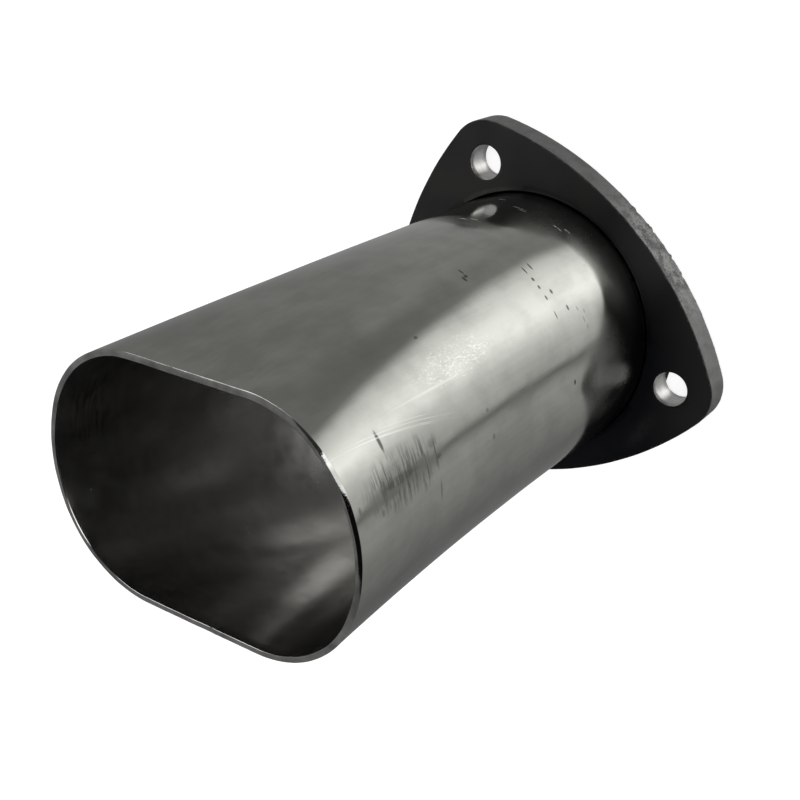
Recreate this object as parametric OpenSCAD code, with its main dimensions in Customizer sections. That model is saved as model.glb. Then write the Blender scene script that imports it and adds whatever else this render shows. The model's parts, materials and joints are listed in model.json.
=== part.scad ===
// Oval-to-round exhaust tube with a loose three-bolt flange.
// The tube is one formed piece: a flat lip turned outwards at its round end, a straight round
// stretch, and a wall that opens smoothly into an oval mouth. The flange plate was slipped on
// before the mouth was formed, so the lip and the oval hold it captive and it turns freely.
// The part stands on its lip: +Z runs up the tube to the mouth, X is the mouth's long axis, and
// the origin is the centre of the lip's flat sealing face. Units are millimetres.

/* [Tube] */
// Outside diameter of the round end
tube_d = 85.7; // [60:0.1:110]
// Wall thickness of the tube
wall = 1.65; // [1:0.05:4]
// Height from the sealing face to the mouth
tube_h = 165; // [110:1:320]
// Length that stays round above the flange
round_l = 40; // [10:1:60]

/* [Oval mouth] */
// Outside width of the mouth, along X
mouth_w = 98; // [88:0.5:125]
// Outside height of the mouth, along Y
mouth_h = 67.5; // [58:0.5:80]
// Outside radius of the mouth's four corner bends
mouth_corner_r = 30.5; // [20:0.5:33]
// Outside radius of the mouth's two bulged ends
mouth_end_r = 39; // [36:0.5:44]
// Edge break round the sawn mouth
edge_break = 0.3; // [0.1:0.05:0.4]

/* [Lip] */
// How far the lip stands out past the tube's outside
lip_w = 5.15; // [3.5:0.05:8]
// Bend radius between the tube and the lip, on the flange's side
bend_r = 1.6; // [1:0.1:2]

/* [Flange plate] */
// Thickness of the plate
plate_t = 9.5; // [5:0.1:16]
// Radial clearance of the plate round the tube
plate_gap = 0.5; // [0.3:0.05:1]
// Chamfer of the plate's hole, which clears the lip's bend
plate_chamfer = 1.5; // [1.3:0.1:2.5]
// From the tube's outside to the circle through the bolt holes' centres
bolt_reach = 10.3; // [8:0.05:16]
// Diameter of the bolt holes
bolt_d = 11.1; // [8:0.1:12]
// Radius of the plate's corners, round the bolt holes
corner_r = 13.5; // [11:0.5:18]
// Radius of the plate's three bowed sides
side_r = 111.4; // [90:0.1:200]
// Direction of the first bolt hole from +X, as the plate is turned at rest
plate_turn = 109.2; // [0:0.1:360]

/* [Hidden] */

// Facets of true circles
$fn = 120;

// The tube's round end
tube_r = tube_d / 2;
bore_r = tube_r - wall;
bend_out_r = bend_r + wall;
lip_r = tube_r + lip_w;
// The circle through the bolt holes' centres
bolt_circle_r = tube_r + bolt_reach;
// The plate rests on the lip
plate_z = wall;
plate_top = plate_z + plate_t;
round_top = plate_top + round_l;
// The oval rises out of the end of the turned stretch, sunk into its wall by this much
seat = 0.5;

// The mouth's outline: its ends are arcs about (end_x, 0), its corners arcs about (bend_x, bend_y)
mouth_a = mouth_w / 2;
mouth_b = mouth_h / 2;
end_x = mouth_a - mouth_end_r;
bend_y = mouth_b - mouth_corner_r;
bend_x = end_x + sqrt(pow(mouth_end_r - mouth_corner_r, 2) - pow(bend_y, 2));
// Angle at which an end arc runs into a corner arc
meet = atan2(bend_y, bend_x - end_x);
// Steps along half an end arc, round a corner arc and up the changing stretch
end_steps = 4;
corner_steps = 13;
rise_steps = 22;
// Normal directions of one quarter of a ring, half a step in from both axes
quarter = concat(
    [for (i = [0 : end_steps - 1]) meet * (i + 0.5) / end_steps],
    [for (i = [0 : corner_steps - 1]) meet + (90 - meet) * (i + 0.5) / corner_steps]);
ring_n = 4 * len(quarter);
// Widest half step between two normals
half_step = max(meet / end_steps, (90 - meet) / corner_steps) / 2;
// How far the polygon rings keep inside both faces of the turned wall where the two meet
seam_step = 0.06;

// How far the section has changed from round (0) to the mouth (1) at height z: the wall leaves
// the round stretch tangent and opens on a parabola
function change(z) = pow(max(0, (z - round_top) / (tube_h - round_top)), 2);

// The step at the seam fades out towards the mouth
function fade(z) = seam_step * (1 - change(z));

// One point of a quarter ring whose outward normal has direction a. The round section and the
// mouth are mixed by their normals, so every section between them is a smooth oval too.
function ring_point(a, e, inset, grow) =
    let (
        on_end = a < meet,
        centre = e * (on_end ? [end_x, 0] : [bend_x, bend_y]),
        r = (1 - e) * tube_r + e * (on_end ? mouth_end_r : mouth_corner_r) - inset
    )
    centre + r * grow * [cos(a), sin(a)];

// A whole ring, anticlockwise from +X, at height z
function ring(z, inset, grow) =
    let (
        e = change(z),
        q = [for (a = quarter) ring_point(a, e, inset, grow)],
        back = [for (i = [len(q) - 1 : -1 : 0]) q[i]]
    )
    concat(
        [for (p = q) [p.x, p.y, z]],
        [for (p = back) [-p.x, p.y, z]],
        [for (p = q) [-p.x, -p.y, z]],
        [for (p = back) [p.x, -p.y, z]]);

// Skins a closed tube over rings that run up the outside, over the mouth and down the inside
module skinned_tube(rings) {
    count = len(rings);
    points = [for (r = rings) for (p = r) p];
    faces = [
        for (k = [0 : count - 1])
            for (i = [0 : ring_n - 1])
                let (
                    up = (k + 1) % count,
                    next = (i + 1) % ring_n,
                    a = k * ring_n + i,
                    b = k * ring_n + next,
                    c = up * ring_n + next,
                    d = up * ring_n + i
                )
                each [[a, c, b], [a, d, c]]
    ];
    polyhedron(points, faces, convexity = 4);
}

// Outline of the lip, its bend and the straight round wall, turned about the axis
module turned_section() {
    bend_x0 = tube_r + bend_r;
    bend_z0 = wall + bend_r;
    translate([bore_r, bend_z0])
        square([wall, round_top - bend_z0]);
    translate([bend_x0, 0])
        square([lip_r - bend_x0, wall]);
    intersection() {
        translate([bend_x0, bend_z0])
            difference() {
                circle(bend_out_r);
                circle(bend_r);
            }
        translate([bore_r, 0])
            square([bend_out_r, bend_z0]);
    }
}

module oval_tube() {
    heights = [for (k = [0 : rise_steps])
        round_top + (tube_h - edge_break - round_top) * k / rise_steps];
    bore_grow = 1 / cos(half_step);
    outside = concat(
        [ring(round_top - seat, seam_step, 1)],
        [for (z = heights) ring(z, fade(z), 1)],
        [ring(tube_h, edge_break, 1)]);
    inside = concat(
        [ring(tube_h, wall - edge_break, bore_grow)],
        [for (k = [rise_steps : -1 : 0]) ring(heights[k], wall - fade(heights[k]), bore_grow)],
        [ring(round_top - seat, wall - seam_step, bore_grow)]);
    color("darkgray") {
        rotate_extrude() turned_section();
        skinned_tube(concat(outside, inside));
    }
}

// Plate outline: three bowed sides, tangent to corner arcs that are centred on the bolt holes
module plate_outline() {
    // Each side's centre lies this far past the axis, on the far side from the side itself
    side_back = sqrt(pow(side_r - corner_r, 2) - pow(bolt_circle_r * sin(60), 2))
        - bolt_circle_r / 2;
    // Distance from the axis at which the sides run into the corner arcs
    tangent_x = bolt_circle_r
        + corner_r * (bolt_circle_r + side_back / 2) / (side_r - corner_r);
    difference() {
        intersection_for (i = [0 : 2])
            rotate(60 + 120 * i)
                translate([-side_back, 0])
                    circle(side_r, $fn = 240);
        // The sharp tips go: past the tangent points the corner discs make the outline
        for (i = [0 : 2])
            rotate(120 * i)
                translate([tangent_x, -side_r])
                    square([side_r, 2 * side_r]);
    }
    for (i = [0 : 2])
        rotate(120 * i)
            translate([bolt_circle_r, 0])
                circle(corner_r);
}

module swivel_flange() {
    hole_r = tube_r + plate_gap;
    cut = 1;
    color("dimgray")
        translate([0, 0, plate_z])
            rotate(plate_turn)
                difference() {
                    linear_extrude(plate_t) plate_outline();
                    translate([0, 0, -cut])
                        cylinder(r = hole_r, h = plate_t + 2 * cut);
                    // Clears the lip's bend
                    translate([0, 0, -cut])
                        cylinder(r1 = hole_r + plate_chamfer + cut, r2 = hole_r, h = plate_chamfer + cut);
                    for (i = [0 : 2])
                        rotate(120 * i)
                            translate([bolt_circle_r, 0, -cut])
                                cylinder(d = bolt_d, h = plate_t + 2 * cut);
                }
}

oval_tube();
swivel_flange();
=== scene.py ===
# Looks of an exhaust header flange: a formed round-to-oval steel tube whose lip traps a loose
# three-bolt plate. Named lengths are millimetres and angles degrees, unless a comment says otherwise.
# Meshes are in metres, in the frame's own axes: +Z up the tube to its mouth, X the mouth's long axis.
import json
import math

import bmesh
import bpy
import numpy as np
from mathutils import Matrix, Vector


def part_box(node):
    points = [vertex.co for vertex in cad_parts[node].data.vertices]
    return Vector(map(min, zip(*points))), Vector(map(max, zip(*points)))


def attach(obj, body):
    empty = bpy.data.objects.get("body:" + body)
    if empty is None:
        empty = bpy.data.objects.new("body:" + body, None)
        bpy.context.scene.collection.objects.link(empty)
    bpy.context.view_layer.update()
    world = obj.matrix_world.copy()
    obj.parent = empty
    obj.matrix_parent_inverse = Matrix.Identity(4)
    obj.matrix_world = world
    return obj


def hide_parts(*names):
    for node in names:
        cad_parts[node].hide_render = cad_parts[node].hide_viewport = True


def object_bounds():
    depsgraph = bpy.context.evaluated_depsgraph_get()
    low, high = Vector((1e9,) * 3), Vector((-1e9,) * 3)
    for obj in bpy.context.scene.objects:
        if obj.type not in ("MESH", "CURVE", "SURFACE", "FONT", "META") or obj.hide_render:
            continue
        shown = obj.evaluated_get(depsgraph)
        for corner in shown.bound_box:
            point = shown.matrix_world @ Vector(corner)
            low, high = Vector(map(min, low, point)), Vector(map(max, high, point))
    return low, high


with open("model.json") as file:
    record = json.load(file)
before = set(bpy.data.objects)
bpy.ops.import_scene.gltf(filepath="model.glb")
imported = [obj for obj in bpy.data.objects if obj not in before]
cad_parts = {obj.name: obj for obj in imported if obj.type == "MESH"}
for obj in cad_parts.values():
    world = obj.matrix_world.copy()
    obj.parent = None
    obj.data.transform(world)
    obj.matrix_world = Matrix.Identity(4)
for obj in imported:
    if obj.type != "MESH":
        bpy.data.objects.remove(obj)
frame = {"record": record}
cad_low, cad_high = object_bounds()

MM = 0.001
mounts = {m["name"]: m for m in frame["record"]["mounts"]}
tube_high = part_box("oval_tube")[1]
plate_low, plate_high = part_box("swivel_flange")

# Tube wall and mouth
WALL = 1.65
TUBE_R = mounts["inlet_bore"]["dims"]["r_mm"] + WALL
TUBE_H = tube_high.z / MM
MOUTH_A = 49.0
MOUTH_B = 33.75
CORNER_R = 30.5
END_R = 39.0
ROUND_TOP = 51.15
# The mouth is dressed to a slightly rounded bevel outside; its inside and the lip's edge are broken
BEVEL_IN = 0.90
BEVEL_DOWN = 0.75
BEVEL_POWER = 1.75
EDGE = 0.3
LIP_W = 5.15
BEND_R = 1.6
# The mouth's arc centres, and the angle at which an end arc runs into a corner arc
END_X = MOUTH_A - END_R
BEND_Y = MOUTH_B - CORNER_R
BEND_X = END_X + math.sqrt((END_R - CORNER_R) ** 2 - BEND_Y ** 2)
MEET = math.atan2(BEND_Y, BEND_X - END_X)
# Plate
PLATE_BOTTOM = plate_low.z / MM
PLATE_TOP = plate_high.z / MM
BOLT_R = mounts["collector_bolts"]["dims"]["hole_r_mm"]
BOLT_CIRCLE_R = mounts["collector_bolts"]["dims"]["pcd_mm"] / 2
CLEARANCE = 0.5
PLATE_HOLE_R = TUBE_R + CLEARANCE
PLATE_CORNER_R = 13.5
SIDE_R = 111.4
CHAMFER = 1.5
PLATE_TURN = 109.2
ROLLED_EDGE = 0.35
DRILL_EDGE = 0.08
# How far the centre of a bowed side's arc lies beyond the axis
SIDE_BACK = math.sqrt((SIDE_R - PLATE_CORNER_R) ** 2
                      - (BOLT_CIRCLE_R * math.sin(math.radians(60))) ** 2) - BOLT_CIRCLE_R / 2


# Surfaces

def section_radius(angle, change, inset):
    """Distance from the axis to the wall in the direction angle, in radians. A section has two
    end arcs, four corner arcs and two flats. The share change, 0 round and 1 at the mouth, moves
    each arc's centre out from the axis and takes its radius from the tube's to the mouth's.
    inset moves the whole outline inwards."""
    across, up = np.abs(np.cos(angle)), np.abs(np.sin(angle))
    end_x, bend_x, bend_y = change * END_X, change * BEND_X, change * BEND_Y
    end_r = (1 - change) * TUBE_R + change * END_R - inset
    bend_r = (1 - change) * TUBE_R + change * CORNER_R - inset
    on_end = end_x * across + np.sqrt(end_r ** 2 - (end_x * up) ** 2)
    along = bend_x * across + bend_y * up
    on_bend = along + np.sqrt(bend_r ** 2 - bend_x ** 2 - bend_y ** 2 + along ** 2)
    on_flat = (bend_y + bend_r) / np.maximum(up, 1e-6)
    turn = np.arctan2(up, across)
    end_stops = np.arctan2(end_r * math.sin(MEET), end_x + end_r * math.cos(MEET))
    bend_stops = np.arctan2(bend_y + bend_r, bend_x)
    return np.where(turn < end_stops, on_end, np.where(turn < bend_stops, on_bend, on_flat))


def quarter(height, inset, down, inwards, start, stop, steps):
    """Points (height, inset) on an ellipse: its centre, plus down times the sine in height, minus
    inwards times the cosine in inset, of an angle in degrees: 0 faces outwards and 90 up."""
    t = np.radians(np.linspace(start, stop, steps))
    return np.stack([height + down * np.sin(t), inset - inwards * np.cos(t)], 1)


def straight(start, stop, steps):
    """Points (height, inset) spaced evenly between two points, without either of them."""
    t = np.linspace(0, 1, steps + 2)[1:-1, None]
    return (1 - t) * np.array(start) + t * np.array(stop)


def bevel(height, inset, down, inwards, steps):
    """Points (height, inset) from the top of a dressed edge to its foot on the outside: like a
    quarter round, but with the sine and cosine raised to a power, where 2 would be a flat bevel."""
    t = np.radians(np.append(np.linspace(90, 6, steps - 1), 0))
    return np.stack([height + down * np.sin(t) ** BEVEL_POWER,
                     inset - inwards * np.cos(t) ** BEVEL_POWER], 1)


WALL_FINISH, LIP_SHADOW_FINISH, RIM_FINISH, BORE_FINISH = 0, 1, 2, 3


def wall_profile():
    """The wall's closed outline as (height, inset from the tube's outside) with the finish of each
    station: over the dressed mouth, down the outside, round the lip, and back up the bore."""
    bend_top = WALL + BEND_R
    lip_inset = EDGE - LIP_W
    lip_bend = quarter(bend_top, -BEND_R, -BEND_R, -BEND_R, 0, 90, 7)
    bore_bend = quarter(bend_top, -BEND_R, -bend_top, -bend_top, 90, 0, 9)
    parts = [
        (bevel(TUBE_H - BEVEL_DOWN, BEVEL_IN, BEVEL_DOWN, BEVEL_IN, 13), RIM_FINISH),
        (np.array([[TUBE_H - BEVEL_DOWN - 0.04, 0]]), WALL_FINISH),
        (straight((TUBE_H - BEVEL_DOWN, 0), (bend_top, 0), 80), WALL_FINISH),
        (lip_bend, WALL_FINISH),
        # The lip's face under the plate and its edge get the near-black painted shadow
        (straight((WALL, -BEND_R), (WALL, lip_inset), 3), LIP_SHADOW_FINISH),
        (quarter(WALL - EDGE, lip_inset, EDGE, EDGE, 90, 0, 4), LIP_SHADOW_FINISH),
        (quarter(EDGE, lip_inset, EDGE, EDGE, 0, -90, 4), LIP_SHADOW_FINISH),
        (straight((0, lip_inset), (0, -BEND_R), 3), WALL_FINISH),
        (bore_bend, BORE_FINISH),
        (straight((bend_top, WALL), (TUBE_H - EDGE, WALL), 50), BORE_FINISH),
        (quarter(TUBE_H - EDGE, WALL - EDGE, EDGE, EDGE, 180, 90, 5), RIM_FINISH),
        (straight((TUBE_H, WALL - EDGE), (TUBE_H, BEVEL_IN), 2), RIM_FINISH),
    ]
    stations = np.concatenate([points for points, finish in parts])
    finish = np.concatenate([np.full(len(points), finish) for points, finish in parts])
    return stations, finish


def ripples(angle, height, seed, waves, longest, depth):
    """Smooth unevenness: a sum of sine waves round and along the tube, each with a whole number of
    turns, a drawn slope along the height and a drawn phase, made weaker as it gets finer."""
    rng = np.random.default_rng(seed)
    total = np.zeros(np.broadcast(angle, height).shape)
    for k in range(1, waves + 1):
        turns = rng.integers(k, 3 * k + 1)
        along = rng.uniform(-1, 1) * 2 * math.pi * k / longest
        total += np.sin(turns * angle + along * height + rng.uniform(0, 2 * math.pi)) / k
    return depth * total


def bump_at(angle, degrees, half_width):
    """A smooth bump of height 1 at an angle round the tube, which falls as a bell curve."""
    away = np.degrees(np.angle(np.exp(1j * (angle - math.radians(degrees)))))
    return np.exp(-(away / half_width) ** 2)


def grid_mesh(name, patches):
    """A mesh from grids of points in millimetres. Each patch is (points[rows, columns, 3],
    rows close, columns close, material index or one index for each row); its faces join each point
    to the next in both directions. Points that coincide where patches meet are merged, and faces
    turned outwards."""
    points, faces, index, start = [], [], [], 0
    for grid, rows_close, columns_close, material in patches:
        rows, columns = grid.shape[:2]
        at = start + np.arange(rows * columns).reshape(rows, columns)
        if rows_close:
            at = np.concatenate([at, at[:1]])
        if columns_close:
            at = np.concatenate([at, at[:, :1]], 1)
        quads = np.stack([at[:-1, :-1], at[:-1, 1:], at[1:, 1:], at[1:, :-1]], -1)
        of_row = np.broadcast_to(np.asarray(material), (rows,))[:len(quads), None]
        points.append(grid.reshape(-1, 3) * MM)
        faces.append(quads.reshape(-1, 4))
        index.append(np.broadcast_to(of_row, quads.shape[:2]).reshape(-1))
        start += rows * columns
    mesh = bpy.data.meshes.new(name)
    mesh.from_pydata(np.concatenate(points), [], np.concatenate(faces))
    mesh.polygons.foreach_set("material_index", np.concatenate(index).astype(np.int32))
    edit = bmesh.new()
    edit.from_mesh(mesh)
    bmesh.ops.remove_doubles(edit, verts=edit.verts, dist=1e-6)
    bmesh.ops.recalc_face_normals(edit, faces=edit.faces)
    edit.to_mesh(mesh)
    edit.free()
    mesh.shade_smooth()
    piece = bpy.data.objects.new(name, mesh)
    bpy.context.scene.collection.objects.link(piece)
    return piece


# Small burrs and dents on the mouth's rim: degrees round the tube, half width, how far each stands in
BURRS = ((33.0, 0.9, 0.30), (30.5, 1.0, 0.15), (40.0, 1.4, -0.10), (-82.0, 0.8, 0.22),
         (-46.0, 1.0, 0.22), (-119.0, 1.5, 0.12), (-142.0, 1.2, -0.08), (150.0, 2.0, 0.06))
# The dressed bevel is deepest at this place and keeps at least this share of its depth elsewhere
DRESSED_AT, DRESSED_WIDE, DRESSED_LEAST = 8, 32, 0.48
# The rim's own unevenness fades out this far below the mouth; the rim is set down by RIM_DOWN, so
# that it stays at the tube's height, and a burr stands up by this share of how far it stands in
RIM_FADE = 1.2
RIM_DOWN = 0.05
BURR_RISE = 0.3


def dressed(angle, height, inset):
    """The bevel as the file left it: whole at one end of the oval and about half as deep and wide
    elsewhere. Its share falls as a bell curve away from that end, and both the points' drop below
    the mouth and their inset are scaled by it; the flat rim inside it stretches to suit."""
    share = DRESSED_LEAST + (1 - DRESSED_LEAST) * bump_at(angle, DRESSED_AT, DRESSED_WIDE)
    at_mouth = height > TUBE_H - 2
    moved = np.interp(inset, [0, BEVEL_IN, WALL - EDGE], [0, BEVEL_IN, 0]) * at_mouth
    drop = (TUBE_H - height) * (at_mouth & (inset <= BEVEL_IN))
    return height + (1 - share) * drop, inset - (1 - share) * moved


def tube_surface(columns=480):
    """The whole wall as one closed surface of (profile station, angle): each station's height and
    inset give a section of the wall, and the share of change grows with the square of the height
    above the round stretch. Slow ripples make the wall as uneven as drawn tube, and a finer
    unevenness with a few burrs runs round the dressed mouth."""
    stations, finish = wall_profile()
    angle = np.linspace(-math.pi, math.pi, columns, endpoint=False)[None, :]
    height, inset = dressed(angle, stations[:, :1], stations[:, 1:])
    change = (np.maximum(0, height - ROUND_TOP) / (TUBE_H - ROUND_TOP)) ** 2
    radius = section_radius(angle, change, inset)
    free = np.clip((height - PLATE_TOP) / 20, 0, 1)
    radius = radius + free * ripples(angle, height, seed=5, waves=7, longest=150, depth=0.030)
    at_mouth = np.clip((height - (TUBE_H - RIM_FADE)) / RIM_FADE, 0, 1)
    inner = np.clip(inset / WALL, 0, 1)
    burrs = sum(tall * bump_at(angle, place, wide) for place, wide, tall in BURRS)
    filed = ripples(angle * 9, height * 0, seed=8, waves=9, longest=50, depth=0.018)
    bowed = ripples(angle * 7, height * 0, seed=3, waves=9, longest=50, depth=0.022)
    height = height + at_mouth * (filed - RIM_DOWN + BURR_RISE * burrs)
    radius = radius + at_mouth * (bowed - inner * burrs)
    surface = np.stack([radius * np.cos(angle), radius * np.sin(angle), height + 0 * angle], -1)
    return surface, finish


# Plate surfaces: one third of the plate belongs to each bolt hole

FACE_FINISH, CUT_FINISH, DRILL_FINISH, CENTRE_FINISH = 0, 1, 2, 3
THIRD = math.radians(60)
TURNS = np.linspace(-THIRD, THIRD, 361)
# The columns within 15 degrees of a bolt hole's direction make the bay round the hole
BAY_START, BAY_STOP = 135, 225
# Shares of the way across the face, and across a bay, closer together towards the cut edge
SHARES = np.array([0, 0.14, 0.28, 0.42, 0.55, 0.67, 0.78, 0.87, 0.94, 0.98, 1.0])
BAY_SHARES = np.array([0, 0.1, 0.22, 0.36, 0.5, 0.63, 0.75, 0.85, 0.93, 0.98, 1.0])


def plate_reach(turn):
    """Distance from the axis to the plate's edge, turn radians away from a bolt hole's direction:
    the corner arc about the hole up to where it touches the bowed side, and then the side's arc."""
    turn = np.abs(turn)
    along = BOLT_CIRCLE_R * np.cos(turn)
    inside = np.maximum(PLATE_CORNER_R ** 2 - (BOLT_CIRCLE_R * np.sin(turn)) ** 2, 0)
    corner = along + np.sqrt(inside)
    off = THIRD - turn
    side = -SIDE_BACK * np.cos(off) + np.sqrt(SIDE_R ** 2 - (SIDE_BACK * np.sin(off)) ** 2)
    step = PLATE_CORNER_R / (SIDE_R - PLATE_CORNER_R)
    touch = math.atan2(step * SIDE_BACK * math.sin(THIRD),
                       BOLT_CIRCLE_R + step * (BOLT_CIRCLE_R + SIDE_BACK / 2))
    return np.where(turn < touch, corner, side)


# Snags where the torch stuttered, along the back edge: degrees, half width, how far each stands out
SNAGS = ((53.5, 0.7, 0.30), (51.8, 0.7, -0.22), (44.6, 0.5, 0.34), (43.2, 0.7, -0.30),
         (37.5, 0.8, 0.16), (33.4, 0.5, 0.36), (32.0, 0.6, -0.30), (27.0, 0.5, 0.30),
         (25.6, 0.6, -0.28), (13.0, 0.8, 0.12))
# The stretch of the edge where the cut tore: the middle and half width of its bell, in degrees
TORN_AT, TORN_WIDE = 38.0, 20.0
# Height of the band of dross above the plate's back, how far dross stands out at most, and how far
# the cut is set back so that it all stays within the plate's outline
DROSS_H = 4.0
DROSS_OUT = 0.30
CUT_BACK = 0.06


def ragged(angle, height):
    """How far the cut edge stands out at an angle about the axis: faint striations nearly straight
    through the thickness, coarser bites and grains of dross where the cut tore, and the snags."""
    torn = bump_at(angle, TORN_AT, TORN_WIDE)
    fine = ripples(angle * 40, height, seed=21, waves=8, longest=60, depth=0.006 + 0.014 * torn)
    bites = ripples(angle * 8, height, seed=22, waves=8, longest=22, depth=0.010 + 0.030 * torn)
    low = np.clip((PLATE_BOTTOM + DROSS_H - height) / DROSS_H, 0, 1)
    dross = ripples(angle * 25, height, seed=23, waves=6, longest=9, depth=0.16)
    dross = np.clip(np.maximum(dross, 0) * low * (0.15 + 0.85 * torn), 0, DROSS_OUT)
    snags = low * sum(tall * bump_at(angle, place, wide) for place, wide, tall in SNAGS)
    return fine + bites + dross + snags - CUT_BACK


def placed(turn, radius, height, middle):
    """Points from polar places, in the third whose bolt hole lies in the direction middle."""
    angle = turn + middle
    return np.stack([radius * np.cos(angle), radius * np.sin(angle), height + 0 * angle], -1)


def face_radius(turn, share, height, hole_edge, middle):
    """Radius at a share of the way from the centre hole's rim to where the cut edge rolls over."""
    cut = plate_reach(turn) - ROLLED_EDGE + ragged(turn + middle, height)
    return share * cut + (1 - share) * hole_edge


def bay_outline():
    """The outline of the bay round a bolt hole as (turn, share): along the cut edge, in along one
    side, back round the centre hole, and out along the other side. With it goes the direction in
    which each of its points is seen from the bolt hole's centre in the unrolled plate."""
    cut = TURNS[BAY_START:BAY_STOP + 1]
    side = SHARES[1:-1]
    turn = np.concatenate([cut, np.full(len(side), cut[-1]), cut[::-1], np.full(len(side), cut[0])])
    share = np.concatenate([np.ones(len(cut)), side[::-1], np.zeros(len(cut)), side])
    radius = share * plate_reach(turn) + (1 - share) * PLATE_HOLE_R
    return turn, share, np.arctan2(radius - BOLT_CIRCLE_R, turn * BOLT_CIRCLE_R)


def round_bolt(direction, radius):
    """Polar place, about the plate's axis, of the points of a circle about the bolt hole."""
    out = BOLT_CIRCLE_R + radius * np.sin(direction)
    across = radius * np.cos(direction)
    return np.arctan2(across, out), np.hypot(out, across)


def face_bay(middle, height, hole_edge):
    """The face round a bolt hole, blended evenly from the hole's rim to the bay's outline."""
    turn, share, direction = bay_outline()
    radius = face_radius(turn, share, height, hole_edge, middle)
    hole_turn, hole_radius = round_bolt(direction, BOLT_R + DRILL_EDGE)
    v = BAY_SHARES[:, None]
    return placed((1 - v) * hole_turn + v * turn, (1 - v) * hole_radius + v * radius, height, middle)


def face_strip(middle, height, hole_edge, turn):
    """The face beside a bay, as a surface of (share, turn)."""
    radius = face_radius(turn[None, :], SHARES[:, None], height, hole_edge, middle)
    return placed(turn[None, :] + 0 * radius, radius, height, middle)


# Points of the cut edge through the thickness: in each rolled rim and between them
ROLL_STEPS, EDGE_STEPS = 5, 14


def cut_edge(middle):
    """The cut edge of a third as a surface of (place through the thickness, turn): both rims rolled
    over by a quarter round, and the wall between them pushed in and out by its raggedness."""
    t = np.radians(np.linspace(0, 90, ROLL_STEPS))
    top = np.stack([PLATE_TOP - ROLLED_EDGE * (1 - np.cos(t)), ROLLED_EDGE * (np.sin(t) - 1)], 1)
    bottom = np.stack([PLATE_TOP + PLATE_BOTTOM - top[::-1, 0], top[::-1, 1]], 1)
    path = np.concatenate([top, straight(top[-1], bottom[0], EDGE_STEPS), bottom])
    height, outset = path[:, :1], path[:, 1:]
    turn = TURNS[None, :]
    radius = plate_reach(turn) + outset + ragged(turn + middle, height)
    return placed(turn + 0 * height, radius, height, middle)


def bolt_wall(middle):
    """The drilled wall of a bolt hole, as a surface of (height, direction), with broken edges."""
    direction = bay_outline()[2]
    height = np.array([PLATE_TOP, PLATE_TOP - DRILL_EDGE, PLATE_TOP - 3, PLATE_BOTTOM + 3,
                       PLATE_BOTTOM + DRILL_EDGE, PLATE_BOTTOM])[:, None]
    radius = BOLT_R + np.array([DRILL_EDGE, 0, 0, 0, 0, DRILL_EDGE])[:, None]
    hole_turn, hole_radius = round_bolt(direction, radius)
    return placed(hole_turn, hole_radius, height, middle)


def centre_wall(middle):
    """The centre hole's wall in a third, as a surface of (height, turn): a broken edge above, and
    below the chamfer that clears the lip's bend."""
    height = np.array([PLATE_TOP, PLATE_TOP - DRILL_EDGE, PLATE_TOP - 4, PLATE_BOTTOM + CHAMFER,
                       PLATE_BOTTOM])[:, None]
    radius = PLATE_HOLE_R + np.array([DRILL_EDGE, 0, 0, 0, CHAMFER])[:, None]
    return placed(TURNS[None, :] + 0 * height, radius + 0 * TURNS[None, :], height, middle)


def plate_patches():
    """Every patch of the plate: each third has its two faces, cut edge, bolt hole and hole wall."""
    patches = []
    edge_finish = np.full(2 * ROLL_STEPS + EDGE_STEPS, CUT_FINISH)
    edge_finish[:3] = FACE_FINISH
    hole_finish = [FACE_FINISH, DRILL_FINISH, DRILL_FINISH, DRILL_FINISH, FACE_FINISH, FACE_FINISH]
    faces = ((PLATE_TOP, PLATE_HOLE_R + DRILL_EDGE), (PLATE_BOTTOM, PLATE_HOLE_R + CHAMFER))
    for k in range(3):
        middle = math.radians(PLATE_TURN + 120 * k)
        for height, hole_edge in faces:
            patches += [
                (face_bay(middle, height, hole_edge), False, True, FACE_FINISH),
                (face_strip(middle, height, hole_edge, TURNS[:BAY_START + 1]), False, False, FACE_FINISH),
                (face_strip(middle, height, hole_edge, TURNS[BAY_STOP:]), False, False, FACE_FINISH),
            ]
        patches += [
            (cut_edge(middle), False, False, edge_finish),
            (bolt_wall(middle), False, True, hole_finish),
            (centre_wall(middle), False, False, CENTRE_FINISH),
        ]
    return patches


def mark_edge_distance(piece):
    """Stores each point's distance in from the cut edge, in millimetres, for the worn scale: the
    edge's reach in the point's direction, counted from the nearest bolt hole, less its radius."""
    mesh = piece.data
    place = np.empty(3 * len(mesh.vertices), np.float32)
    mesh.vertices.foreach_get("co", place)
    x, y = place.reshape(-1, 3)[:, 0] / MM, place.reshape(-1, 3)[:, 1] / MM
    angle = np.arctan2(y, x) - math.radians(PLATE_TURN)
    turn = (angle + THIRD) % (2 * THIRD) - THIRD
    layer = mesh.attributes.new("from_edge", "FLOAT", "POINT")
    layer.data.foreach_set("value", (plate_reach(turn) - np.hypot(x, y)).astype(np.float32))


# Materials

def node(tree, kind, inputs=(), **settings):
    """Adds a node, sets its settings, and links or sets its inputs by name or number."""
    made = tree.nodes.new(kind)
    for key, value in settings.items():
        setattr(made, key, value)
    for key, value in dict(inputs).items():
        if isinstance(value, bpy.types.NodeSocket):
            tree.links.new(value, made.inputs[key])
        else:
            made.inputs[key].default_value = value
    return made


def noise(tree, place, size, detail=3.0, stretch=(1, 1, 1), turn=(0, 0, 0)):
    """Noise with features of about size millimetres, stretched by these shares along X, Y and Z,
    after a turn of the pattern in degrees."""
    rotation = [math.radians(t) for t in turn]
    turned = node(tree, "ShaderNodeMapping", {"Vector": place, "Rotation": rotation})
    scale = [1 / (size * MM * s) for s in stretch]
    spread = node(tree, "ShaderNodeMapping", {"Vector": turned.outputs[0], "Scale": scale})
    made = node(tree, "ShaderNodeTexNoise", {"Vector": spread.outputs[0], "Scale": 1.0, "Detail": detail})
    return made.outputs[0]


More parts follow.
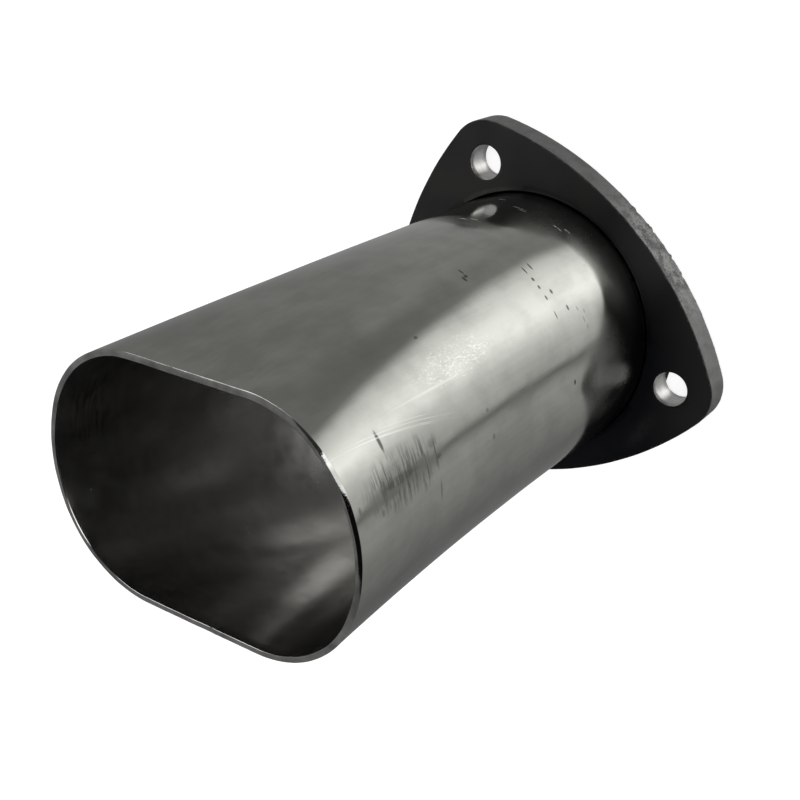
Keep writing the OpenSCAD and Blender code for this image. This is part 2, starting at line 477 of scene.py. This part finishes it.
def between(tree, value, low, high, to_low, to_high):
    """value taken from the range low to high into the range to_low to to_high, clamped."""
    return node(tree, "ShaderNodeMapRange", {0: value, 1: low, 2: high, 3: to_low, 4: to_high}).outputs[0]


def maths(tree, operation, a, b):
    """One Math node."""
    return node(tree, "ShaderNodeMath", {0: a, 1: b}, operation=operation).outputs[0]


def times(tree, a, b):
    return maths(tree, "MULTIPLY", a, b)


def plus(tree, a, b):
    return maths(tree, "ADD", a, b)


def most(tree, values):
    """The largest of several values."""
    top = values[0]
    for value in values[1:]:
        top = maths(tree, "MAXIMUM", top, value)
    return top


def mixed(tree, share, a, b):
    """Colour a where share is 0 and b where it is 1."""
    made = node(tree, "ShaderNodeMix", {"Factor": share}, data_type="RGBA")
    for key, value in ((6, a), (7, b)):
        if isinstance(value, bpy.types.NodeSocket):
            tree.links.new(value, made.inputs[key])
        else:
            made.inputs[key].default_value = (*value, 1)
    return made.outputs[2]


def new_material(name, metallic, **constants):
    """A material with the shader's constants set by name, with _ for each space."""
    material = bpy.data.materials.new(name)
    material.use_nodes = True
    shader = material.node_tree.nodes["Principled BSDF"]
    shader.inputs["Metallic"].default_value = metallic
    for key, value in constants.items():
        shader.inputs[key.replace("_", " ")].default_value = value
    return material, material.node_tree, shader


def finish(tree, shader, colour, rough, height, strength, depth):
    """Links a surface's colour, roughness and relief; depth is the relief's millimetres."""
    bump = node(tree, "ShaderNodeBump", {"Strength": strength, "Distance": depth * MM, "Height": height})
    tree.links.new(colour, shader.inputs["Base Color"])
    tree.links.new(rough, shader.inputs["Roughness"])
    tree.links.new(bump.outputs[0], shader.inputs["Normal"])


def unrolled(tree, place):
    """The tube's wall laid flat: X is degrees round the tube, Y the height in millimetres."""
    parts = node(tree, "ShaderNodeSeparateXYZ", {0: place})
    radians = maths(tree, "ARCTAN2", parts.outputs["Y"], parts.outputs["X"])
    degrees = times(tree, radians, 180 / math.pi)
    height = maths(tree, "DIVIDE", parts.outputs["Z"], MM)
    return degrees, height


def length(tree, vector):
    """The length of a vector."""
    return node(tree, "ShaderNodeVectorMath", {0: vector}, operation="LENGTH").outputs["Value"]


def flat_place(tree, degrees, height):
    """A place in the flat picture of a surface, from its two coordinates."""
    return node(tree, "ShaderNodeCombineXYZ", {"X": degrees, "Y": height}).outputs[0]


def spot(tree, flat, degrees, height, half_degrees, half_height, soft, lean=0.0):
    """1 inside an ellipse on the unrolled wall, falling to 0 at soft times its size. lean turns it
    by degrees of the unrolled picture."""
    local = node(tree, "ShaderNodeMapping", {
        "Vector": flat, "Location": (degrees, height, 0), "Rotation": (0, 0, math.radians(lean)),
        "Scale": (half_degrees, half_height, 1)}, vector_type="TEXTURE")
    return between(tree, length(tree, local.outputs[0]), 1, soft, 1, 0)


def spots(tree, flat, places, soft=1.6):
    """The strongest of several spots. Each place is degrees round, height, half size in degrees
    and in height, and, where it has more, its softness, its strength and its lean."""
    made = []
    for degrees, height, half_degrees, half_height, *more in places:
        own_soft, strength, lean = (*more, *(soft, 1.0, 0.0)[len(more):])
        shape = spot(tree, flat, degrees, height, half_degrees, half_height, own_soft, lean)
        made.append(shape if strength == 1.0 else times(tree, shape, strength))
    return most(tree, made)


# Colours of the tube's wall: clean steel, clouded steel, the painted shade of a darker stretch, grime that
# also gives the painted shade at the plate, fresh scratches
STEEL = (0.400, 0.403, 0.368)
STEEL_DARK = (0.315, 0.318, 0.292)
STEEL_SHADED = (0.25, 0.25, 0.23)
GRIME_AND_SHADE = (0.085, 0.087, 0.080)
SCRATCH = (0.62, 0.62, 0.58)
# Colours of the bore, of the dressed rim and of the lip's edge, the last painted near black as shadow under
# the plate: clean and clouded
BORE, BORE_DARK = (0.405, 0.400, 0.385), (0.300, 0.298, 0.290)
RIM, RIM_DARK = (0.33, 0.33, 0.32), (0.17, 0.17, 0.165)
LIP_SHADOW, LIP_SHADOW_DARK = (0.016, 0.015, 0.014), (0.004, 0.004, 0.004)

# Small dark pits and ticks on the wall: degrees round, height, half size in degrees and in height
TICKS = ((28.1, 147.4, 2.2, 0.40), (41.5, 58.1, 0.7, 0.30), (46.2, 58.1, 0.6, 0.35),
         (49.9, 58.1, 0.6, 0.40), (54.4, 58.3, 1.2, 0.22), (42.7, 54.3, 0.7, 0.40),
         (55.0, 54.8, 1.2, 0.25), (34.5, 51.1, 0.8, 0.35), (34.2, 58.1, 1.2, 0.18),
         (61.6, 82.0, 0.9, 0.35), (62.4, 80.6, 0.5, 0.50), (64.9, 80.2, 1.0, 0.22),
         (50.1, 115.2, 0.4, 0.50), (7.5, 57.2, 0.7, 0.35))
# Faint short dashes round the wall, of the same form
DASHES = ((4.5, 129.0, 1.8, 0.25), (8.6, 102.5, 0.6, 0.40), (18.1, 103.5, 0.4, 0.4),
          (17.1, 85.5, 0.3, 1.6), (32.4, 46.8, 0.6, 0.22), (27.6, 45.6, 0.8, 0.20),
          (24.6, 45.0, 0.5, 0.20), (30.4, 44.0, 0.5, 0.20), (10.8, 154.0, 0.6, 0.30),
          (15.3, 162.0, 0.7, 0.30))
# Short bright dashes beside the plate, of the same form
NICKS = ((92.0, 48.8, 1.6, 0.20), (88.0, 47.4, 1.2, 0.18), (83.0, 27.6, 2.4, 0.16),
         (81.0, 28.7, 1.4, 0.14), (65.0, 27.6, 1.8, 0.18), (61.5, 25.4, 1.1, 0.26),
         (96.0, 22.0, 1.2, 0.14))
# Soft grey blots in the rub marks: the same form, and then softness and strength
BLOTS = ((19.7, 130.0, 0.9, 1.1, 2.2, 0.42), (14.9, 128.4, 0.5, 0.9, 2.2, 0.70),
         (16.2, 136.0, 1.0, 2.2, 2.2, 0.40), (19.4, 147.0, 1.5, 2.6, 2.2, 0.35),
         (14.0, 150.0, 0.8, 2.6, 2.2, 0.45))
# The patches of rub marks and the dark core in them
RUB_PATCHES = ((16.5, 145.5, 4.2, 7.0, 2.2), (16.5, 135.0, 4.6, 1.6, 2.2), (16.5, 128.8, 3.0, 1.0, 2.0))
RUB_CORE = (16.0, 145.0, 0.9, 5.0, 2.8)
# Painted shade low on the wall where it meets the plate, most of it under the right-hand bolt hole
FOOT_SHADE = ((-12.0, 14.0, 20.0, 5.0, 2.2, 0.70), (9.0, 31.0, 13.0, 5.0, 2.4, 0.48))
# Painted shade: a darker stretch in the reflection beside the bright wall's edge
SHADED_STRETCH = (52.5, 132.0, 3.4, 24.0, 2.2, 1.0, 6.5)
# Scratches that bend round the wall by this much for each squared millimetre from the mouth
SCRATCH_BEND = 0.0037
BENT_SCRATCHES = ((30.4, 147.0, 0.11, 20.0, 1.8), (31.5, 139.0, 0.08, 16.0, 1.8, 1.0, 0.8),
                  (30.1, 137.0, 0.10, 10.0, 1.8, 1.0, -0.6), (32.6, 136.0, 0.07, 6.0, 1.8, 1.0, 1.5))
STRAIGHT_SCRATCH = (33.4, 120.0, 0.26, 10.0, 2.2, 0.55, -1)
# The scuffed stretch, and how its hairs lean
SCUFFED = (38.4, 108.5, 4.2, 11.0, 1.9)
HAIR_LEANS = (-28, 14, 55)
# Stretches near the plate that are duller; their strength is added roughness
DULLED = ((2.0, 36.0, 8.0, 6.0, 3.0, 0.24), (56.0, 21.0, 24.0, 6.0, 1.9, 0.15),
          (71.0, 28.0, 7.0, 7.0, 2.4, 0.16), (94.0, 50.0, 12.0, 3.0, 2.0, 0.13),
          (-8.0, 31.0, 7.0, 8.0, 2.2, 0.16))
# Relief of the wall, and how far it is drawn in at the plate, a slope of up to 4 degrees
WALL_RELIEF = 0.008
WAIST = 1.32


def drawn_steel():
    """Bare drawn tube: satin steel with long forming streaks and cloudy handling marks. It has a
    patch of dark rub marks, small pits, a few bright curved scratches and a scuffed stretch."""
    material, tree, shader = new_material("drawn_steel", 1.0)
    place = node(tree, "ShaderNodeTexCoord").outputs["Object"]
    degrees, height = unrolled(tree, place)
    flat = flat_place(tree, degrees, height)

    # Streaks along the tube, clouds and grain
    streaks = noise(tree, place, 1.3, 3, (1, 1, 70))
    broad = noise(tree, place, 8, 2, (1, 1, 16))
    clouds = noise(tree, place, 20, 5, (1, 1, 1.8))
    smudge = noise(tree, place, 7, 4, (1, 1, 1.2))
    grain = noise(tree, place, 0.30, 2, (1, 1, 3))
    tone = plus(tree, between(tree, streaks, 0.35, 0.65, -0.12, 0.12),
                between(tree, clouds, 0.35, 0.65, -0.15, 0.75))
    tone = plus(tree, tone, between(tree, smudge, 0.38, 0.65, -0.10, 0.45))
    colour = mixed(tree, tone, STEEL, STEEL_DARK)

    # Rub marks: thin dark lines round the tube, dense in two patches near the mouth
    lines_place = flat_place(tree, times(tree, degrees, 0.11), plus(tree, height, times(tree, degrees, 0.03)))
    lines = node(tree, "ShaderNodeTexNoise", {"Vector": lines_place, "Scale": 0.9, "Detail": 5.0,
                                              "Roughness": 0.65}).outputs[0]
    patches = spots(tree, flat, RUB_PATCHES)
    core = spots(tree, flat, [RUB_CORE])
    rubbed = most(tree, [times(tree, patches, between(tree, lines, 0.45, 0.58, 0, 0.80)),
                         times(tree, core, between(tree, lines, 0.36, 0.52, 0.25, 0.90))])
    ticks = spots(tree, flat, TICKS, 1.8)
    dashes = spots(tree, flat, DASHES, 2.2)
    blots = times(tree, spots(tree, flat, BLOTS), between(tree, smudge, 0.35, 0.60, 0.6, 1.2))
    # Painted shade: the wall darkens towards the plate, where it meets it, and under the right-hand bolt hole
    foot = most(tree, [between(tree, height, PLATE_TOP, PLATE_TOP + 9, 0.80, 0),
                       spots(tree, flat, FOOT_SHADE)])
    dark = most(tree, [rubbed, blots, times(tree, ticks, 0.95), times(tree, dashes, 0.45)])
    colour = mixed(tree, most(tree, [dark, foot]), colour, GRIME_AND_SHADE)
    # Painted shade in the reflection beside the bright wall's edge
    colour = mixed(tree, times(tree, spots(tree, flat, [SHADED_STRETCH]), 0.45), colour, STEEL_SHADED)

    # Curved scratches: straight in a picture whose degrees are drawn aside by the squared distance
    # from the mouth
    drop = maths(tree, "SUBTRACT", TUBE_H, height)
    drawn = plus(tree, degrees, times(tree, times(tree, drop, drop), SCRATCH_BEND))
    scratches = most(tree, [spots(tree, flat_place(tree, drawn, height), BENT_SCRATCHES),
                            spots(tree, flat, [STRAIGHT_SCRATCH])])
    scratches = times(tree, scratches, between(tree, smudge, 0.38, 0.58, 0.12, 0.60))
    nicks = times(tree, spots(tree, flat, NICKS, 1.8), between(tree, grain, 0.35, 0.55, 0.2, 1))
    hairs = most(tree, [
        between(tree, noise(tree, place, 0.50, 2, (1, 1, 20), (0, lean, 12)), 0.60, 0.69, 0, 0.65)
        for lean in HAIR_LEANS
    ])
    bright = most(tree, [scratches, nicks, times(tree, spots(tree, flat, [SCUFFED]), hairs)])
    colour = mixed(tree, bright, colour, SCRATCH)

    # Roughness and relief
    rough = plus(tree, between(tree, clouds, 0.3, 0.7, 0.07, 0.12), between(tree, smudge, 0.4, 0.7, 0, 0.04))
    marked = times(tree, most(tree, [dark, bright]), 0.20)
    rough = plus(tree, rough, most(tree, [marked, spots(tree, flat, DULLED), times(tree, nicks, 0.5)]))
    relief = plus(tree, between(tree, streaks, 0, 1, 0, 0.5), between(tree, grain, 0, 1, 0, 0.3))
    relief = plus(tree, relief, between(tree, broad, 0, 1, 0, 2.2))
    relief = maths(tree, "SUBTRACT", relief, times(tree, ticks, 0.6))
    waist = between(tree, height, 55, 15, 0, 1)
    waist = times(tree, times(tree, waist, waist), WAIST / WALL_RELIEF)
    relief = maths(tree, "SUBTRACT", relief, waist)
    finish(tree, shader, colour, rough, relief, 1.0, WALL_RELIEF)
    return material


def bore_steel():
    """The inside of the tube: the same steel, a little browner, with smudges and soft streaks."""
    material, tree, shader = new_material("bore_steel", 0.985)
    place = node(tree, "ShaderNodeTexCoord").outputs["Object"]
    clouds = noise(tree, place, 16, 5, (1, 1, 1.5))
    smudge = noise(tree, place, 5, 4, (1.6, 1, 1))
    tone = plus(tree, between(tree, clouds, 0.36, 0.62, 0, 0.8), between(tree, smudge, 0.5, 0.7, 0, 0.4))
    colour = mixed(tree, tone, BORE, BORE_DARK)
    # Grimy blots inside the mouth, one of them wiped
    degrees, height = unrolled(tree, place)
    flat = flat_place(tree, degrees, height)
    wiped_place = flat_place(tree, times(tree, degrees, 0.0001), times(tree, height, 0.001))
    wiped = between(tree, noise(tree, wiped_place, 1.0, 5), 0.48, 0.60, 0, 0.6)
    blots = most(tree, [times(tree, spot(tree, flat, 168.0, 154.0, 11.0, 5.0, 1.8), wiped),
                        times(tree, spot(tree, flat, -66.0, 152.0, 12.0, 11.0, 2.0), 0.6)])
    colour = mixed(tree, blots, colour, GRIME_AND_SHADE)
    rough = plus(tree, between(tree, clouds, 0.3, 0.7, 0.12, 0.22), between(tree, smudge, 0.4, 0.7, 0, 0.08))
    waves = noise(tree, place, 7, 1, (1.6, 1, 1))
    relief = plus(tree, waves, times(tree, noise(tree, place, 3, 1, (1, 1, 20)), 0.4))
    finish(tree, shader, colour, rough, relief, 1.0, 0.045)
    return material


def dressed_rim():
    """The dressed mouth: bright, with fine file marks."""
    material, tree, shader = new_material("dressed_rim", 1.0, Roughness=0.09)
    place = node(tree, "ShaderNodeTexCoord").outputs["Object"]
    files = noise(tree, place, 0.5, 3)
    dull = noise(tree, place, 6, 4)
    colour = mixed(tree, between(tree, dull, 0.35, 0.65, 0, 1), RIM, RIM_DARK)
    bump = node(tree, "ShaderNodeBump", {"Strength": 0.12, "Distance": 0.1 * MM, "Height": files})
    tree.links.new(colour, shader.inputs["Base Color"])
    tree.links.new(bump.outputs[0], shader.inputs["Normal"])
    return material


def lip_painted_shadow():
    """The sheared edge of the lip and its face under the plate, painted near black as the shadow under the
    plate.
    """
    material, tree, shader = new_material("lip_painted_shadow", 0.0, Specular_IOR_Level=0.2)
    place = node(tree, "ShaderNodeTexCoord").outputs["Object"]
    shear = noise(tree, place, 0.8, 4)
    colour = mixed(tree, shear, LIP_SHADOW_DARK, LIP_SHADOW)
    finish(tree, shader, colour, between(tree, shear, 0.3, 0.7, 0.5, 0.7), shear, 0.4, 0.2)
    return material


# Colours of the plate's mill scale, its painted shade, where it is worn, and the dust and painted highlight
# on it
SCALE = (0.0032, 0.0034, 0.0040)
SCALE_GREY = (0.0078, 0.0078, 0.0066)
SCALE_SHADED = (0.0014, 0.0017, 0.0024)
SCALE_WORN = (0.045, 0.045, 0.043)
DUST_AND_HIGHLIGHT = (0.035, 0.035, 0.031)
# A painted highlight along the centre hole's edge, where a burr catches light, and a faint smudge, in degrees
# round and millimetres from the axis
HIGHLIGHT_AND_DUST_SPOTS = ((113.0, PLATE_HOLE_R + 0.5, 9.0, 0.7, 2.0, 0.45), (-31.0, 51.5, 3.5, 1.0, 3.0, 0.15))


def mill_scale():
    """Black mill scale of hot-rolled plate: mottled, with painted shade that leaves it a dull grey at the
    upper left and darker and less glossy towards the lower right, and worn off along the cut edge."""
    material, tree, shader = new_material("mill_scale", 0.0, Specular_IOR_Level=0.2)
    place = node(tree, "ShaderNodeTexCoord").outputs["Object"]
    parts = node(tree, "ShaderNodeSeparateXYZ", {0: place})
    mottle = noise(tree, place, 16, 5)
    speck = noise(tree, place, 0.9, 4)
    chips = noise(tree, place, 1.6, 4)
    from_axis = length(tree, flat_place(tree, parts.outputs["X"], parts.outputs["Y"]))
    across = maths(tree, "SUBTRACT", parts.outputs["X"], parts.outputs["Y"])
    # Painted shade: on the right it is blackest beside the tube and greyer outwards
    on_right = times(tree, between(tree, across, -10 * MM, 40 * MM, 0, 1),
                     between(tree, parts.outputs["Y"], -34 * MM, -20 * MM, 0.25, 1))
    beside = between(tree, from_axis, PLATE_HOLE_R * MM, 64 * MM, 24 * MM, -90 * MM)
    across = plus(tree, plus(tree, across, times(tree, on_right, beside)),
                  between(tree, mottle, 0.3, 0.7, -12 * MM, 12 * MM))
    # Painted shade: darker and less glossy from the upper left towards the lower right
    painted_shade = between(tree, across, -55 * MM, 70 * MM, 0, 1)
    colour = mixed(tree, between(tree, mottle, 0.36, 0.64, 0, 1), SCALE, SCALE_GREY)
    colour = mixed(tree, painted_shade, colour, SCALE_SHADED)
    # Scale rubbed off just along the cut edge
    from_edge = node(tree, "ShaderNodeAttribute", attribute_name="from_edge").outputs["Fac"]
    reach = plus(tree, from_edge, between(tree, chips, 0.38, 0.68, 0.35, -0.35))
    worn = between(tree, reach, 0.10, 0.50, 0.55, 0)
    colour = mixed(tree, worn, colour, SCALE_WORN)
    # Painted highlight on the centre hole's edge, and a faint smudge
    polar = flat_place(tree, unrolled(tree, place)[0], maths(tree, "DIVIDE", from_axis, MM))
    dust_and_highlight = times(tree, spots(tree, polar, HIGHLIGHT_AND_DUST_SPOTS), between(tree, chips, 0.35, 0.6, 0.3, 0.9))
    colour = mixed(tree, dust_and_highlight, colour, DUST_AND_HIGHLIGHT)
    tree.links.new(between(tree, painted_shade, 0, 1, 0.35, 0.075), shader.inputs["Specular IOR Level"])
    relief = maths(tree, "SUBTRACT", times(tree, speck, 0.5), worn)
    finish(tree, shader, colour, between(tree, mottle, 0.3, 0.7, 0.36, 0.50), relief, 0.20, 0.2)
    return material


# Colours where the cut tore: its two tones, the oxide in its pits and its bright grains
TORN_DARK = (0.045, 0.045, 0.043)
TORN_LIGHT = (0.230, 0.230, 0.218)
PITS = (0.02, 0.02, 0.02)
GRAINS = (0.27, 0.27, 0.26)
# Colours of the plain cut edge, the centre hole's wall and the drilled walls: light and dark
CUT, CUT_DARK = (0.165, 0.165, 0.158), (0.100, 0.100, 0.097)
HOLE, HOLE_DARK = (0.06, 0.06, 0.06), (0.02, 0.02, 0.02)
DRILLED, DRILLED_DARK = (0.60, 0.59, 0.57), (0.43, 0.43, 0.42)


def cut_steel(name="cut_steel", light=CUT, dark=CUT_DARK):
    """A torch-cut edge: dull grey and nearly smooth, but coarse where the cut tore, with bright
    grains on the high spots and dark oxide in the pits."""
    material, tree, shader = new_material(name, 0.75)
    place = node(tree, "ShaderNodeTexCoord").outputs["Object"]
    striae = noise(tree, place, 0.55, 4, (1, 1, 7))
    patches = noise(tree, place, 4, 5)
    grains = noise(tree, place, 0.55, 3)
    pits = noise(tree, place, 0.8, 4, (1, 1, 1), (0, 40, 0))
    degrees = unrolled(tree, place)[0]
    off = maths(tree, "ABSOLUTE", maths(tree, "SUBTRACT", degrees, TORN_AT), 0.0)
    torn = between(tree, off, 0.5 * TORN_WIDE, 1.6 * TORN_WIDE, 1, 0.08)
    colour = mixed(tree, between(tree, patches, 0.38, 0.62, 0.1, 0.9), light, dark)
    sandy = mixed(tree, between(tree, patches, 0.40, 0.58, 0, 1), TORN_DARK, TORN_LIGHT)
    colour = mixed(tree, times(tree, torn, 0.80), colour, sandy)
    colour = mixed(tree, times(tree, between(tree, pits, 0.52, 0.62, 0, 0.7), torn), colour, PITS)
    colour = mixed(tree, times(tree, between(tree, grains, 0.59, 0.70, 0, 0.80), torn), colour, GRAINS)
    relief = times(tree, plus(tree, striae, grains), torn)
    finish(tree, shader, colour, between(tree, striae, 0.3, 0.7, 0.42, 0.58), relief, 0.5, 0.25)
    return material


def drilled_steel():
    """Bright drilled wall with fine rings."""
    material, tree, shader = new_material("drilled_steel", 1.0)
    place = node(tree, "ShaderNodeTexCoord").outputs["Object"]
    rings = noise(tree, place, 0.3, 3, (40, 40, 1))
    colour = mixed(tree, rings, DRILLED, DRILLED_DARK)
    finish(tree, shader, colour, between(tree, rings, 0.3, 0.7, 0.25, 0.4), rings, 0.3, 0.1)
    return material


# Pieces

surface, station_finish = tube_surface()
tube = grid_mesh("formed_tube", [(surface, True, True, station_finish)])
for steel in (drawn_steel(), lip_painted_shadow(), dressed_rim(), bore_steel()):
    tube.data.materials.append(steel)
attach(tube, "tube")
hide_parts("oval_tube")

plate = grid_mesh("flange_plate", plate_patches())
mark_edge_distance(plate)
dark_bore = cut_steel("dark_bore", HOLE, HOLE_DARK)
for steel in (mill_scale(), cut_steel(), drilled_steel(), dark_bore):
    plate.data.materials.append(steel)
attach(plate, "flange")
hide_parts("swivel_flange")


# Floor, world and lights

def pale_floor():
    """White to the camera, a little less in the object's shadow: a lit share plus its own glow."""
    size = 3.0
    drop = -0.0001
    mesh = bpy.data.meshes.new("floor")
    corners = [(-size, -size, drop), (size, -size, drop), (size, size, drop), (-size, size, drop)]
    mesh.from_pydata(corners, [], [(0, 1, 2, 3)])
    floor = bpy.data.objects.new("floor", mesh)
    bpy.context.scene.collection.objects.link(floor)
    material = bpy.data.materials.new("pale_floor")
    material.use_nodes = True
    tree = material.node_tree
    tree.nodes.clear()
    lit = node(tree, "ShaderNodeBsdfDiffuse", {"Color": (0.35, 0.35, 0.35, 1)})
    own = node(tree, "ShaderNodeEmission", {"Color": (1, 1, 1, 1), "Strength": 0.80})
    both = node(tree, "ShaderNodeAddShader", {0: lit.outputs[0], 1: own.outputs[0]})
    plain = node(tree, "ShaderNodeBsdfDiffuse", {"Color": (0.7, 0.7, 0.7, 1)})
    rays = node(tree, "ShaderNodeLightPath")
    shown = node(tree, "ShaderNodeMixShader",
                 {0: rays.outputs["Is Camera Ray"], 1: plain.outputs[0], 2: both.outputs[0]})
    node(tree, "ShaderNodeOutputMaterial", {"Surface": shown.outputs[0]})
    floor.data.materials.append(material)
    floor.visible_glossy = False


# What the metal mirrors, as brightness by direction about the tube's axis in degrees: the studio
# at bench height and below, with one broad bright wall, and the room above with its window
BENCH = ((-180, 0.36), (-110, 0.20), (-85, 0.21), (-50, 0.44), (-30, 0.58), (-23, 0.54),
         (-19, 0.40), (-17, 0.24), (-15, 0.21), (-12, 0.64), (-9, 0.74), (3, 0.93), (15, 1.26),
         (27, 1.80), (34, 2.07), (48, 1.87), (58, 1.54), (66, 1.32), (71, 1.12), (76, 0.72),
         (81, 0.37), (95, 0.36), (112, 0.44), (150, 0.42))
ROOM = ((-180, 0.44), (-145, 0.36), (-110, 0.38), (-52, 0.35), (-44, 0.01), (9, 0.01), (13, 3.60),
        (52, 3.60), (56, 0.08), (88, 0.08), (96, 0.36), (152, 0.45))
# A second window, low in the room, which fades out between these sines of its height
LOW_WINDOW = ((-180, 0.0), (88, 0.0), (95, 3.5), (133, 3.5), (142, 0.0))
LOW_WINDOW_FADE = (0.46, 0.60)
BRIGHTEST = 4.0
# The even light that matt surfaces get
AMBIENT = 0.55
# The bright wall leans: its edges turn by these degrees in steep and in shallow directions
LEAN_STEEP, LEAN_SHALLOW = -5.0, 12.5
# The bench is a little darker in shallow directions
SHALLOW_SHARE = 0.80
# Sines of the height between which the lean changes, the bench darkens, and the bench gives way
# to the room
LEAN_BAND, DARKER_BAND, HORIZON = (-0.84, -0.68), (-0.80, -0.68), (-0.10, 0.06)


def by_direction(tree, share, levels):
    """Brightness from a ramp over the direction about the tube's axis."""
    ramp = node(tree, "ShaderNodeValToRGB", {"Fac": share})
    stops = ramp.color_ramp.elements
    while len(stops) < len(levels) + 1:
        stops.new(0.5)
    for stop, (degrees, level) in zip(stops, (*levels, (180, levels[0][1]))):
        stop.position = (degrees + 180) / 360
        stop.color = (level / BRIGHTEST, level / BRIGHTEST, level / BRIGHTEST, 1)
    return times(tree, ramp.outputs[0], BRIGHTEST)


def studio_world():
    """White to the camera, soft grey light for matt surfaces, and for metal the bench and room."""
    world = bpy.data.worlds.new("studio")
    world.use_nodes = True
    tree = world.node_tree
    tree.nodes.clear()
    direction = node(tree, "ShaderNodeTexCoord").outputs["Generated"]
    parts = node(tree, "ShaderNodeSeparateXYZ", {0: direction})
    azimuth = maths(tree, "ARCTAN2", parts.outputs["Y"], parts.outputs["X"])
    share = between(tree, azimuth, -math.pi, math.pi, 0, 1)
    lean = between(tree, parts.outputs["Z"], *LEAN_BAND, LEAN_STEEP / 360, LEAN_SHALLOW / 360)
    leant = maths(tree, "FRACT", plus(tree, share, lean), 0.0)
    above = between(tree, parts.outputs["Z"], *HORIZON, 0, 1)
    steep = between(tree, parts.outputs["Z"], *DARKER_BAND, 1, SHALLOW_SHARE)
    bench = times(tree, by_direction(tree, leant, BENCH), steep)
    low = between(tree, parts.outputs["Z"], *LOW_WINDOW_FADE, 1, 0)
    window = times(tree, by_direction(tree, share, LOW_WINDOW), low)
    room = plus(tree, by_direction(tree, share, ROOM), window)
    glow = node(tree, "ShaderNodeMix", {"Factor": above, 2: bench, 3: room}).outputs[0]
    rays = node(tree, "ShaderNodeLightPath")
    glossy, camera = rays.outputs["Is Glossy Ray"], rays.outputs["Is Camera Ray"]
    light = node(tree, "ShaderNodeMix", {"Factor": glossy, 2: AMBIENT, 3: glow}).outputs[0]
    seen = node(tree, "ShaderNodeMix", {"Factor": camera, 2: light, 3: 1.0}).outputs[0]
    background = node(tree, "ShaderNodeBackground", {"Color": (1, 1, 1, 1), "Strength": seen})
    node(tree, "ShaderNodeOutputWorld", {"Surface": background.outputs[0]})
    bpy.context.scene.world = world


def soft_lamp(name, place, size, watts):
    """A square softbox that faces the object and lights matt surfaces only."""
    light = bpy.data.lights.new(name, "AREA")
    light.size = size
    light.energy = watts
    lamp = bpy.data.objects.new(name, light)
    bpy.context.scene.collection.objects.link(lamp)
    lamp.location = place
    centre = (cad_low + cad_high) / 2
    lamp.rotation_mode = "QUATERNION"
    lamp.rotation_quaternion = (centre - lamp.location).to_track_quat("-Z", "Y")
    lamp.visible_camera = False
    lamp.visible_glossy = False


pale_floor()
studio_world()
soft_lamp("softbox_top", (0.5, 0.5, 1.1), size=1.0, watts=9)
soft_lamp("softbox_side", (-0.9, -0.3, 0.8), size=0.8, watts=4)


# Camera: the photograph's up is the part's +Y, and the tube's axis runs away from the camera

VIEW_AZIMUTH = 34.897      # from +Z towards +X
VIEW_ELEVATION = 24.021    # towards +Y
VIEW_ROLL = 0.976
VIEW_DISTANCE = 343.49
VIEW_SIDE = 0.632
VIEW_UP = -2.139
FOCAL_PIXELS = 1214.96
FRAME_PIXELS = 800
SENSOR = 36.0


def photo_camera():
    """The camera looks along the view direction at the middle of the tube's height, shifted a
    little sideways in its own plane."""
    azimuth, elevation, roll = np.radians([VIEW_AZIMUTH, VIEW_ELEVATION, VIEW_ROLL])
    back = np.array([math.sin(azimuth) * math.cos(elevation), math.sin(elevation),
                     math.cos(azimuth) * math.cos(elevation)])
    right = np.cross(-back, [0, 1, 0])
    right = right / np.linalg.norm(right)
    up = np.cross(right, -back)
    right, up = (math.cos(roll) * right + math.sin(roll) * up,
                 -math.sin(roll) * right + math.cos(roll) * up)
    target = np.array([0, 0, TUBE_H / 2])
    place = target + back * VIEW_DISTANCE + right * VIEW_SIDE + up * VIEW_UP
    matrix = np.eye(4)
    matrix[:3, 0], matrix[:3, 1], matrix[:3, 2], matrix[:3, 3] = right, up, back, place * MM
    lens = bpy.data.cameras.new("photo_camera")
    lens.sensor_width = SENSOR
    lens.lens = FOCAL_PIXELS / FRAME_PIXELS * SENSOR
    lens.clip_start = 0.01
    camera = bpy.data.objects.new("photo_camera", lens)
    bpy.context.scene.collection.objects.link(camera)
    camera.matrix_world = matrix.T.tolist()
    bpy.context.scene.camera = camera


photo_camera()
bpy.context.scene.view_settings.view_transform = "Standard"
